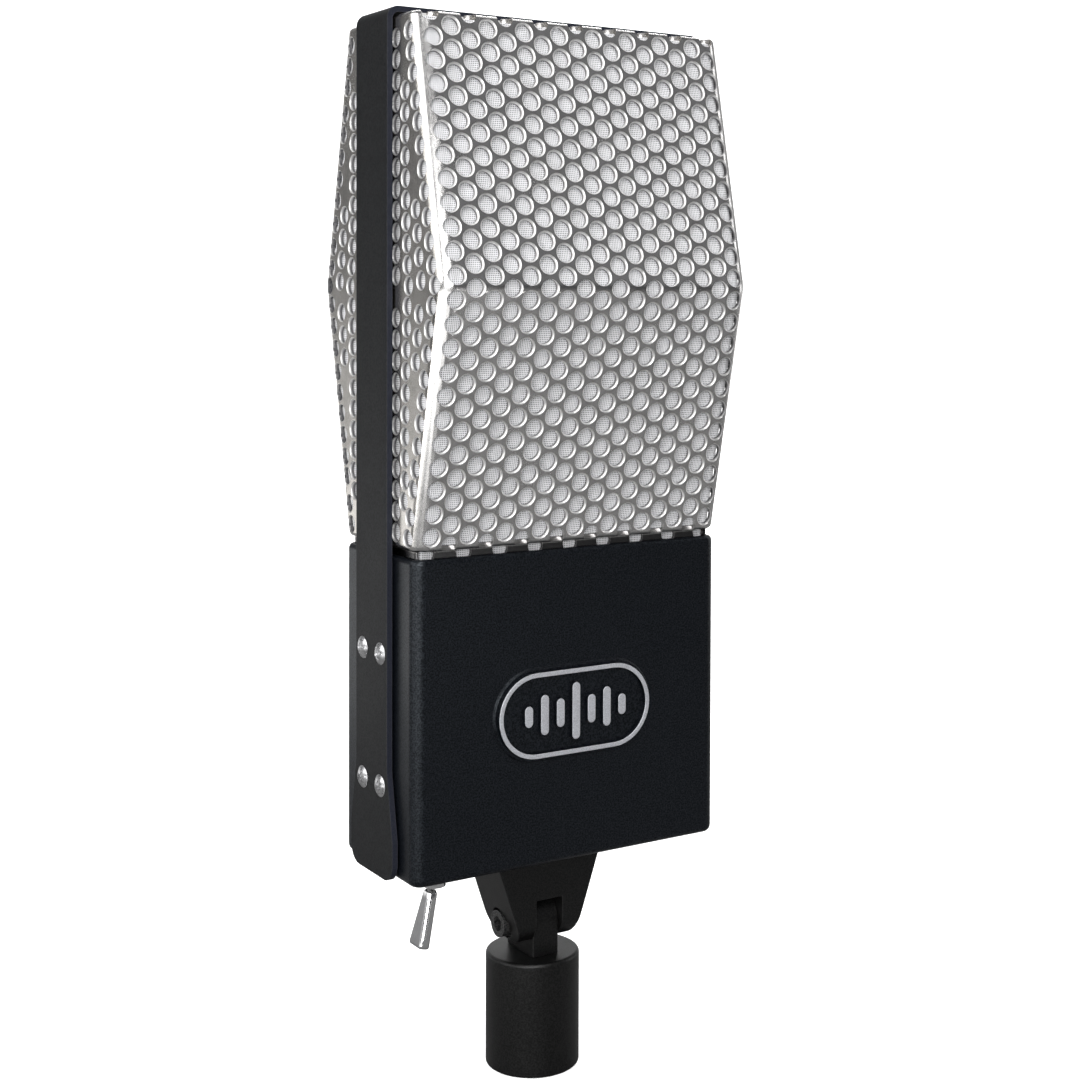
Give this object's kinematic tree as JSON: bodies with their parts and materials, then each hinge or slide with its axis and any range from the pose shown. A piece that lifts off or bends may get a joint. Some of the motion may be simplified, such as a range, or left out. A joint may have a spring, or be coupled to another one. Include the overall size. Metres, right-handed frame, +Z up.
{
  "type": "ribbon microphone",
  "caption": "Side-address ribbon microphone: perforated hexagonal-profile grille, strap frame, black covers, tone toggle and tilting mount on a threaded stand adapter.",
  "frame": {"origin": "centre of the stand adapter's foot, on the stand thread's axis", "axes": "+Z up along the microphone, -Y out of the front (badge side), +X to the right of a viewer facing the front"},
  "size_m": [0.1034, 0.0744, 0.2953],
  "materials": {
    "strap_paint": "matte powder coat, dark charcoal",
    "zinc_steel": "bright zinc plate",
    "grille_plate": "bright nickel plate",
    "gauze_wire": "fine pale woven wire",
    "cover_coat": "satin black powder coat",
    "badge_silver": "silver raised detail on a black field",
    "chassis_black": "black paint",
    "bare_aluminium": "machined",
    "mount_black": "black anodised, fine blasted texture",
    "black_screw": "black oxide",
    "switch_chrome": "polished",
    "switch_plastic": "moulded",
    "brass": "plain",
    "connector_metal": "nickel plate, satin",
    "black_plastic": "moulded",
    "pin_plate": "silver plate",
    "magnet_plate": "nickel plate",
    "core_iron": "soft iron",
    "ribbon_foil": "bright corrugated foil",
    "insulator_board": "fibre laminate",
    "rubber": "soft",
    "can_metal": "annealed nickel iron",
    "copper_wire": "enamelled copper winding",
    "wire_red": "insulated wire",
    "wire_blue": "insulated wire",
    "wire_yellow": "insulated wire",
    "board_green": "glass-fibre laminate with solder mask",
    "capacitor_sleeve": "shrink sleeve"
  },
  "bodies": {
    "foot": {"stand_adapter": "mount_black", "wave_washer": "zinc_steel"},
    "swivel": {"swivel_tongue": "mount_black", "shoulder_screw": "zinc_steel"},
    "head": {"frame_strap": "strap_paint", "strap_screws": "zinc_steel", "front_grille": "grille_plate", "rear_grille": "grille_plate", "front_gauze": "gauze_wire", "rear_gauze": "gauze_wire", "front_cover": "cover_coat", "rear_cover": "cover_coat", "badge_plate": "badge_silver", "base_plate": "chassis_black", "deck_plate": "chassis_black", "side_rails": "bare_aluminium", "chassis_screws": "zinc_steel", "clevis": "mount_black", "clevis_screws": "black_screw", "pivot_bolt": "black_screw", "switch_bushing": "switch_chrome", "switch_nut": "switch_chrome", "switch_washer": "switch_chrome", "switch_body": "switch_plastic", "switch_terminals": "brass", "xlr_shell": "connector_metal", "xlr_insert": "black_plastic", "xlr_pins": "pin_plate", "xlr_screws": "zinc_steel", "motor_frame": "bare_aluminium", "magnets": "magnet_plate", "pole_pieces": "core_iron", "ribbon": "ribbon_foil", "ribbon_clamps": "brass", "clamp_insulators": "insulator_board", "clamp_screws": "zinc_steel", "motor_bracket": "bare_aluminium", "motor_grommets": "rubber", "motor_screws": "zinc_steel", "transformer_can": "can_metal", "transformer_core": "core_iron", "transformer_coil": "copper_wire", "transformer_screws": "zinc_steel", "transformer_leads": "wire_red", "circuit_board": "board_green", "board_standoffs": "brass", "board_screws": "zinc_steel", "capacitors": "capacitor_sleeve", "transistors": "black_plastic", "motor_leads": "wire_red", "output_wires": "wire_blue", "switch_wires": "wire_yellow"},
    "lever": {"switch_lever": "switch_chrome"}
  },
  "joints": [
    {"name": "mount_swivel", "type": "hinge", "parent": "foot", "child": "swivel", "pos_m": [0, 0, 0.0322], "axis": [0, 0, 1], "continuous": true},
    {"name": "head_tilt", "type": "hinge", "parent": "swivel", "child": "head", "pos_m": [0, 0, 0.0413], "axis": [1, 0, 0], "range_deg": [-60, 60]},
    {"name": "switch_throw", "type": "hinge", "parent": "head", "child": "lever", "pos_m": [-0.0362, -0.009, 0.0622], "axis": [0, -1, 0], "range_deg": [0, 28]}
  ]
}
